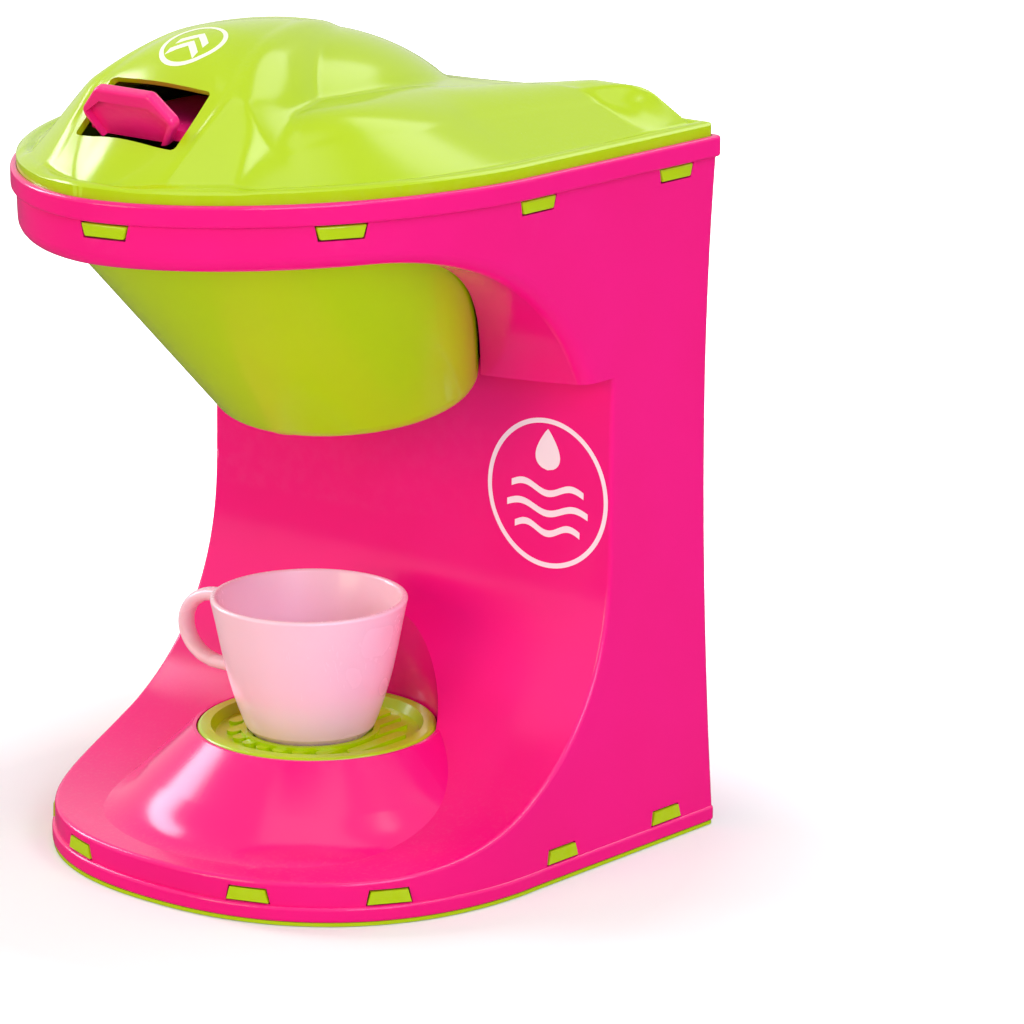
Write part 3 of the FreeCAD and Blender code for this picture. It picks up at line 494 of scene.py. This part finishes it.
def lidHeight(x, y):
    q, edge = abs(x), rimDistance(x, y)
    low = softMax(baseHeight(q, y, edge), ballHeight(q, y), lid["seamBlend"])
    blend = lid["seamBlend"] + lid["frontBlend"] * ease(-y, *lid["frontBlendRise"])
    return softMax(low, stripHeight(q, y, edge), blend)


def lidHalfWidth(y):
    front = lid["half"] - lid["taper"]
    if y < -lid["start"]:
        share = clamp(abs(y + lid["start"]) / lid["reach"])
        return front * (1 - share ** lid["power"]) ** (1 / lid["power"])
    half = front + lid["taper"] * (1 + y / lid["start"])
    into = y - (lid["back"] - lid["corner"])
    if into > 0:
        half -= lid["corner"] - math.sqrt(max(0.0, lid["corner"] ** 2 - into ** 2))
    return half


def lidSkin():
    rows, columns = lid["rows"], lid["columns"]
    yBack, yFront = lid["back"] - 0.001, -lid["start"] - lid["reach"] + 0.002
    grid = []
    for j in range(rows + 1):
        y = yBack + (yFront - yBack) * 0.5 * (1 - math.cos(math.pi * j / rows))
        half = lidHalfWidth(y)
        line = []
        for i in range(columns + 1):
            x = half * math.sin(math.pi / 2 * (2 * i / columns - 1))
            line.append((x, y, lidHeight(x, y)))
        grid.append(line)
    outer = [point for line in grid for point in line]
    points = [place(*point) for point in outer]
    width = columns + 1
    faces = [(j * width + i, j * width + i + 1, (j + 1) * width + i + 1, (j + 1) * width + i)
             for j in range(rows) for i in range(columns)]
    border = list(range(columns)) + [j * width + columns for j in range(rows)]
    border += [rows * width + columns - i for i in range(columns)] + [(rows - j) * width for j in range(rows)]
    low = len(points)
    points += [place(outer[k][0], outer[k][1], lid["seat"]) for k in border]
    for k in range(len(border)):
        n = (k + 1) % len(border)
        faces.append((border[k], low + k, low + n, border[n]))
    return points, faces


def slotCutter():
    # rounded block square to the dome's 45 degree front slope
    radius, slope, corner = lid["frontRadius"], lid["slope"], lid["slotCorner"]
    fall = lid["slotTop"] - radius * (1 - math.cos(slope))
    breakY = lid["topY"] - radius * math.sin(slope)
    frontZ = fall - (breakY - lid["slotFrontY"])
    across, reach = lid["slotHalf"] - corner, lid["slotLength"] - corner
    outline = []
    for turn, (cx, cy) in enumerate(((across, reach), (-across, reach), (-across, corner), (across, corner))):
        for step in range(7):
            angle = math.radians(turn * 90 + step * 15)
            outline.append((cx + corner * math.cos(angle), cy + corner * math.sin(angle)))
    rings = []
    for depth in (-lid["slotDepth"], lid["slotDepth"]):
        rings.append([place(u, lid["slotFrontY"] + v * math.cos(slope) - depth * math.sin(slope),
                            frontZ + v * math.sin(slope) + depth * math.cos(slope)) for u, v in outline])
    points, faces = ringTube(rings)
    mesh = bpy.data.meshes.new("slotCutter")
    mesh.from_pydata(points, [], faces)
    item = bpy.data.objects.new("slotCutter", mesh)
    bpy.context.scene.collection.objects.link(item)
    tidyNormals(item)
    return item


def makeLid():
    points, faces = lidSkin()
    item = makePiece("lidCover", points, faces, finishes["lime_plastic"], "housing")
    shell = item.modifiers.new("shell", "SOLIDIFY")
    shell.thickness = lid["thick"] * millimetre
    shell.offset = -1
    shell.use_even_offset = False
    cutter = slotCutter()
    cut = item.modifiers.new("cut", "BOOLEAN")
    cut.operation = "DIFFERENCE"
    cut.solver = "EXACT"
    cut.object = cutter
    applyModifiers(item)
    bpy.data.objects.remove(cutter)
    smooth(item, lid["sharp"])
    return item


wallPlan = {"half": 67.9, "flare": 0.00055, "waist": 105.0, "taper": 3.0, "start": 68.9, "reach": 87.0,
            "power": 1.83, "wall": 2.2, "gap": 0.3, "ring": 1.6, "ringLow": 170.4, "ringHigh": 179.4}
tabs = {"z": 172.7, "width": 12.4, "height": 3.2, "slant": 0.9, "proud": 0.35, "inner": 3.4, "round": 0.45,
        "frontX": (51.4, -51.4, 7.6), "sideY": (-67.7, -16.3), "sharp": 50.0}
fixtures = {"pinY": -62.0, "pinZ": 196.0, "earIn": 6.4, "earOut": 9.0, "earRadius": 4.6, "bootY": -80.0,
            "bootLow": 206.6, "bootOut": 4.4, "bootIn": 2.6, "bootDeep": 2.6,
            "sink": 0.9}


def wallHalf(z):
    return wallPlan["half"] + wallPlan["flare"] * (z - wallPlan["waist"]) ** 2


def planPoints(z, inset, count=80):
    # the wall's outline at a height: back corners, straight sides and the rounded front
    back = wallHalf(z) - inset
    front, reach, start = back - wallPlan["taper"], wallPlan["reach"] - inset, wallPlan["start"]
    points = [(back, -inset)]
    for step in range(count + 1):
        angle = -math.pi * step / count
        a, b = math.cos(angle), math.sin(angle)
        grow = (abs(a) ** wallPlan["power"] + abs(b) ** wallPlan["power"]) ** (-1 / wallPlan["power"])
        points.append((front * a * grow, -start + reach * b * grow))
    return points + [(-back, -inset)]


def tabPlaces():
    half = wallHalf(tabs["z"])
    front, reach = half - wallPlan["taper"], wallPlan["reach"]
    start, power = wallPlan["start"], wallPlan["power"]
    places = []
    for x in tabs["frontX"]:
        y = reach * (1 - (abs(x) / front) ** power) ** (1 / power)
        nx = math.copysign((abs(x) / front) ** (power - 1) / front, x)
        places.append((x, -start - y, math.atan2(-(y / reach) ** (power - 1) / reach, nx)))
    for y in tabs["sideY"]:
        x = half + wallPlan["taper"] * y / start
        lean = math.atan2(-wallPlan["taper"] / start, 1)
        places += [(x, y, lean), (-x, y, math.pi - lean)]
    return places


def makeLidTabs():
    points, faces = [], []
    foot, head = wallPlan["ringLow"], wallPlan["ringHigh"]
    outer = wallPlan["wall"] + wallPlan["gap"]
    inner = outer + wallPlan["ring"]
    loops = [[place(x, y, z) for x, y in planPoints(z, inset)]
             for z, inset in ((foot, outer), (head, outer), (head, inner), (foot, inner))]
    addTo(points, faces, *ringTube(list(zip(*loops)), loop=True))
    for x, y, angle in tabPlaces():
        high, low = tabs["width"] / 2, tabs["width"] / 2 - tabs["slant"]
        rings = []
        for out in (-tabs["inner"], tabs["proud"]):
            ring = []
            for across, up in ((-low, -1), (low, -1), (high, 1), (-high, 1)):
                ring.append(place(x + out * math.cos(angle) - across * math.sin(angle),
                                  y + out * math.sin(angle) + across * math.cos(angle),
                                  tabs["z"] + up * tabs["height"] / 2))
            rings.append(ring)
        addTo(points, faces, *ringTube(rings))
    item = makePiece("lidSnapRing", points, faces, finishes["lime_plastic"], "housing")
    bevel = item.modifiers.new("rounded", "BEVEL")
    bevel.width = tabs["round"] * millimetre
    bevel.segments = 3
    bevel.limit_method = "ANGLE"
    applyModifiers(item)
    smooth(item, tabs["sharp"])


def makeLidFixtures():
    # ears for the lever's pin and the boot over the spring, under the dome
    points, faces = [], []
    for side in (-1, 1):
        rings = []
        for reach in (fixtures["earIn"], fixtures["earOut"]):
            x, y, z, r = side * reach, fixtures["pinY"], fixtures["pinZ"], fixtures["earRadius"]
            turn = [math.pi * k / 16 for k in range(17)]
            ring = [place(x, y - r * math.cos(angle), z - r * math.sin(angle)) for angle in turn]
            ring += [place(x, end, lidHeight(x, end) - fixtures["sink"]) for end in (y + r, y - r)]
            rings.append(ring)
        addTo(points, faces, *ringTube(rings))
    y, low = fixtures["bootY"], fixtures["bootLow"]
    outer, inner = fixtures["bootOut"], fixtures["bootIn"]
    profile = [(inner, low + fixtures["bootDeep"]), (inner, low), (outer, low),
               (outer, lidHeight(0, y) - fixtures["sink"])]
    turn = [math.pi * k / 16 for k in range(32)]
    rings = [[place(r * math.cos(angle), y + r * math.sin(angle), z) for angle in turn] for r, z in profile]
    addTo(points, faces, *ringTube(rings))
    makePiece("lidFixtures", points, faces, finishes["lime_plastic"], "housing")


lidCover = makeLid()
makeLidTabs()
makeLidFixtures()
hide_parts("lid")
print("lid made", len(lidCover.data.vertices), "points")

# return spring
spring = {"wire": 0.65, "radius": 3.75, "turns": 5.5, "ringPoints": 10, "steps": 34, "y": -80.0,
          "flatTurns": 0.7, "travel": 0.002}


def makeSpring():
    low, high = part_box("return_spring")
    bottom, top = low.z / millimetre + spring["wire"], high.z / millimetre - spring["wire"]
    rings = []
    total = int(spring["turns"] * spring["steps"])
    for step in range(total + 1):
        angle = 2 * math.pi * step / spring["steps"]
        share = (step / spring["steps"] - spring["flatTurns"]) / (spring["turns"] - 2 * spring["flatTurns"])
        z = bottom + (top - bottom) * clamp(share)
        ring = []
        for i in range(spring["ringPoints"]):
            turn = 2 * math.pi * i / spring["ringPoints"]
            reach = spring["radius"] + spring["wire"] * math.cos(turn)
            ring.append(place(reach * math.cos(angle), spring["y"] + reach * math.sin(angle),
                              z + spring["wire"] * math.sin(turn)))
        rings.append(ring)
    points, faces = ringTube(rings)
    item = makePiece("springCoil", points, faces, finishes["steel"], "housing")
    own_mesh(item)
    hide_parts("return_spring")


makeSpring()
print("spring made")

# prints
columnPrint = {"x": 46.1, "z": 91.3, "radius": 19.2, "stroke": 1.25, "lift": 0.03, "film": 0.06,
               "dropRise": 11.2, "dropHalf": 3.9, "dropHigh": 10.6, "dropBulge": 0.62, "dropRound": 0.85,
               "dropTip": 0.02, "waveHalf": 11.5, "waveHigh": 1.1, "waves": 1.5, "waveStroke": 1.7,
               "waveRows": ((1.0, 1.0), (-4.2, 1.12), (-9.4, 0.9))}
domePrint = {"x": 0.0, "y": -115.0, "radius": 8.25, "stroke": 1.1, "chevrons": (-3.4, 0.4),
             "chevronHalf": 4.4, "chevronHigh": 3.6, "chevronFall": 0.8, "chevronStroke": 2.1}
bayFace = {"top": -36.5, "low": -37.5, "lowZ": 85.0, "topZ": 150.2, "centreY": -125.0, "floor": 11.0,
           "power": 2.4}


def columnFace(z):
    if z >= bayFace["lowZ"]:
        share = (z - bayFace["lowZ"]) / (bayFace["topZ"] - bayFace["lowZ"])
        return bayFace["low"] + (bayFace["top"] - bayFace["low"]) * share
    down = (bayFace["lowZ"] - z) / (bayFace["lowZ"] - bayFace["floor"])
    p = bayFace["power"]
    return bayFace["centreY"] + (bayFace["low"] - bayFace["centreY"]) * (1 - down ** p) ** (1 / p)


def onColumn(u, v, lift):
    return place(columnPrint["x"] + u, columnFace(columnPrint["z"] + v) - lift, columnPrint["z"] + v)


def onDome(u, v, lift):
    x, y = domePrint["x"] + u, domePrint["y"] + v
    return place(x, y, lidHeight(x, y) + lift)


def filmStrip(edgeA, edgeB, surface, across=2, loop=False):
    # a thin printed strip between two rows of flat points, laid on a surface
    low, film = columnPrint["lift"], columnPrint["film"]
    rings = []
    for (ax, ay), (bx, by) in zip(edgeA, edgeB):
        row = [(ax + (bx - ax) * k / across, ay + (by - ay) * k / across) for k in range(across + 1)]
        ring = [surface(u, v, low + film) for u, v in row] + [surface(u, v, low) for u, v in row[::-1]]
        rings.append(ring)
    return ringTube(rings, loop=loop)


def circleStrip(radius, stroke, count=96):
    turn = [2 * math.pi * k / count for k in range(count)]
    return ([(radius * math.cos(a), radius * math.sin(a)) for a in turn],
            [((radius - stroke) * math.cos(a), (radius - stroke) * math.sin(a)) for a in turn])


def dropStrip(rise, half, high, count=24):
    left, right = [], []
    for k in range(count + 1):
        share = k / count
        width = columnPrint["dropTip"]
        if 0 < share < 1:
            width = half * math.sin(math.pi * share ** columnPrint["dropBulge"]) ** columnPrint["dropRound"]
        v = rise - high / 2 + high * share
        left.append((-width, v))
        right.append((width, v))
    return left, right


def waveStrip(rise, half, high, stroke, count=40):
    upper, lower = [], []
    for k in range(count + 1):
        u = -half + 2 * half * k / count
        v = rise + high * math.sin(2 * math.pi * columnPrint["waves"] * k / count)
        upper.append((u, v + stroke / 2))
        lower.append((u, v - stroke / 2))
    return upper, lower


def makeColumnPrint():
    points, faces = [], []
    ring = circleStrip(columnPrint["radius"], columnPrint["stroke"])
    addTo(points, faces, *filmStrip(*ring, onColumn, loop=True))
    drop = dropStrip(columnPrint["dropRise"], columnPrint["dropHalf"], columnPrint["dropHigh"])
    addTo(points, faces, *filmStrip(*drop, onColumn, 6))
    for rise, share in columnPrint["waveRows"]:
        half = columnPrint["waveHalf"] * share
        strip = waveStrip(rise, half, columnPrint["waveHigh"], columnPrint["waveStroke"])
        addTo(points, faces, *filmStrip(*strip, onColumn))
    makePiece("columnPrint", points, faces, inkOnPink, "housing")


def makeDomePrint():
    points, faces = [], []
    ring = circleStrip(domePrint["radius"], domePrint["stroke"])
    addTo(points, faces, *filmStrip(*ring, onDome, 4, loop=True))
    across = [domePrint["chevronHalf"] * k / 2 for k in range(-2, 3)]
    for rise in domePrint["chevrons"]:
        upper = [(u, rise + domePrint["chevronHigh"] - abs(u) * domePrint["chevronFall"]) for u in across]
        lower = [(u, v - domePrint["chevronStroke"]) for u, v in upper]
        addTo(points, faces, *filmStrip(upper, lower, onDome, 4))
    makePiece("domePrint", points, faces, inkOnLime, "housing")


makeColumnPrint()
makeDomePrint()
print("prints made")

# floor, world and lamps
studio = {"floorSize": 9.0, "floorColor": (0.82, 0.84, 0.80), "glowNear": 0.08, "glowFar": 1.0,
          "nearReach": 0.10, "farReach": 0.32, "floorGloss": 0.12, "floorDrop": 0.0002, "world": 0.34,
          "worldGloss": 0.9, "target": (0, 0, 0.1),
          "lamps": [("leftStrip", (-1.3, -0.15, 0.75), (0.35, 0.9), 11.0, (1.0, 0.97, 1.12)),
                    ("topSoftbox", (0.1, -0.25, 1.5), (0.9, 0.9), 3.8, (1.0, 1.0, 1.0)),
                    ("rightSoftbox", (1.4, -0.75, 0.85), (0.9, 0.9), 11.8, (1.0, 0.96, 1.38)),
                    ("windowLamp", (0.95, 0.15, 1.25), (0.4, 0.45), 4.0, (1.0, 1.0, 1.0)),
                    ("backSoftbox", (0.25, 0.95, 1.25), (0.7, 0.7), 4.4, (1.0, 1.0, 1.0)),
                    ("frontFill", (-0.35, -1.75, 0.55), (0.8, 0.8), 9.5, (1.0, 0.9, 0.55))]}


def floorMaterial():
    material, tree = newMaterial("paleFloor")
    tree.nodes.remove(tree.nodes["Principled BSDF"])
    output = tree.nodes["Material Output"]
    matt = addNode(tree, "ShaderNodeBsdfDiffuse", Color=(*studio["floorColor"], 1))
    reach = tree.nodes.new("ShaderNodeVectorMath")
    reach.operation = "LENGTH"
    tree.links.new(tree.nodes.new("ShaderNodeTexCoord").outputs["Object"], reach.inputs[0])
    glow = ramp(tree, reach.outputs["Value"], studio["nearReach"], studio["farReach"],
                studio["glowNear"], studio["glowFar"])
    path = tree.nodes.new("ShaderNodeLightPath")
    shine = tree.nodes.new("ShaderNodeEmission")
    tree.links.new(mathNode(tree, "MULTIPLY", glow, path.outputs["Is Camera Ray"]), shine.inputs["Strength"])
    both = tree.nodes.new("ShaderNodeAddShader")
    tree.links.new(matt.outputs[0], both.inputs[0])
    tree.links.new(shine.outputs[0], both.inputs[1])
    # reflections see a dim floor, as in a studio with dark sides
    dim = addNode(tree, "ShaderNodeEmission", Strength=studio["floorGloss"])
    pick = tree.nodes.new("ShaderNodeMixShader")
    tree.links.new(path.outputs["Is Glossy Ray"], pick.inputs[0])
    tree.links.new(both.outputs[0], pick.inputs[1])
    tree.links.new(dim.outputs[0], pick.inputs[2])
    tree.links.new(pick.outputs[0], output.inputs["Surface"])
    return material


def addStage():
    size = studio["floorSize"] / 2
    mesh = bpy.data.meshes.new("floorSheet")
    corners = [(-size, -size, 0), (size, -size, 0), (size, size, 0), (-size, size, 0)]
    mesh.from_pydata(corners, [], [(0, 1, 2, 3)])
    mesh.materials.append(floorMaterial())
    floor = bpy.data.objects.new("floorSheet", mesh)
    floor.location.z = -studio["floorDrop"]
    bpy.context.scene.collection.objects.link(floor)
    world = bpy.data.worlds.new("studioWorld")
    world.use_nodes = True
    tree = world.node_tree
    soft = tree.nodes["Background"]
    soft.inputs["Color"].default_value = (1, 1, 1, 1)
    white = addNode(tree, "ShaderNodeBackground", Strength=1.0, Color=(1, 1, 1, 1))
    path = tree.nodes.new("ShaderNodeLightPath")
    tree.links.new(ramp(tree, path.outputs["Is Glossy Ray"], 0.0, 1.0, studio["world"], studio["worldGloss"]),
                   soft.inputs["Strength"])
    seen = mathNode(tree, "MAXIMUM", path.outputs["Is Camera Ray"], path.outputs["Is Transmission Ray"])
    pick = tree.nodes.new("ShaderNodeMixShader")
    tree.links.new(seen, pick.inputs[0])
    tree.links.new(soft.outputs[0], pick.inputs[1])
    tree.links.new(white.outputs[0], pick.inputs[2])
    tree.links.new(pick.outputs[0], tree.nodes["World Output"].inputs["Surface"])
    bpy.context.scene.world = world


def addLamps():
    target = Vector(studio["target"])
    for name, spot, size, power, tint in studio["lamps"]:
        data = bpy.data.lights.new(name, "AREA")
        data.shape = "RECTANGLE"
        data.size, data.size_y = size
        data.energy = power
        data.color = tint
        lamp = bpy.data.objects.new(name, data)
        lamp.location = spot
        lamp.rotation_euler = (target - Vector(spot)).to_track_quat("-Z", "Y").to_euler()
        bpy.context.scene.collection.objects.link(lamp)


addStage()
addLamps()
bpy.context.scene.view_settings.view_transform = "Standard"
print("stage and lamps made")
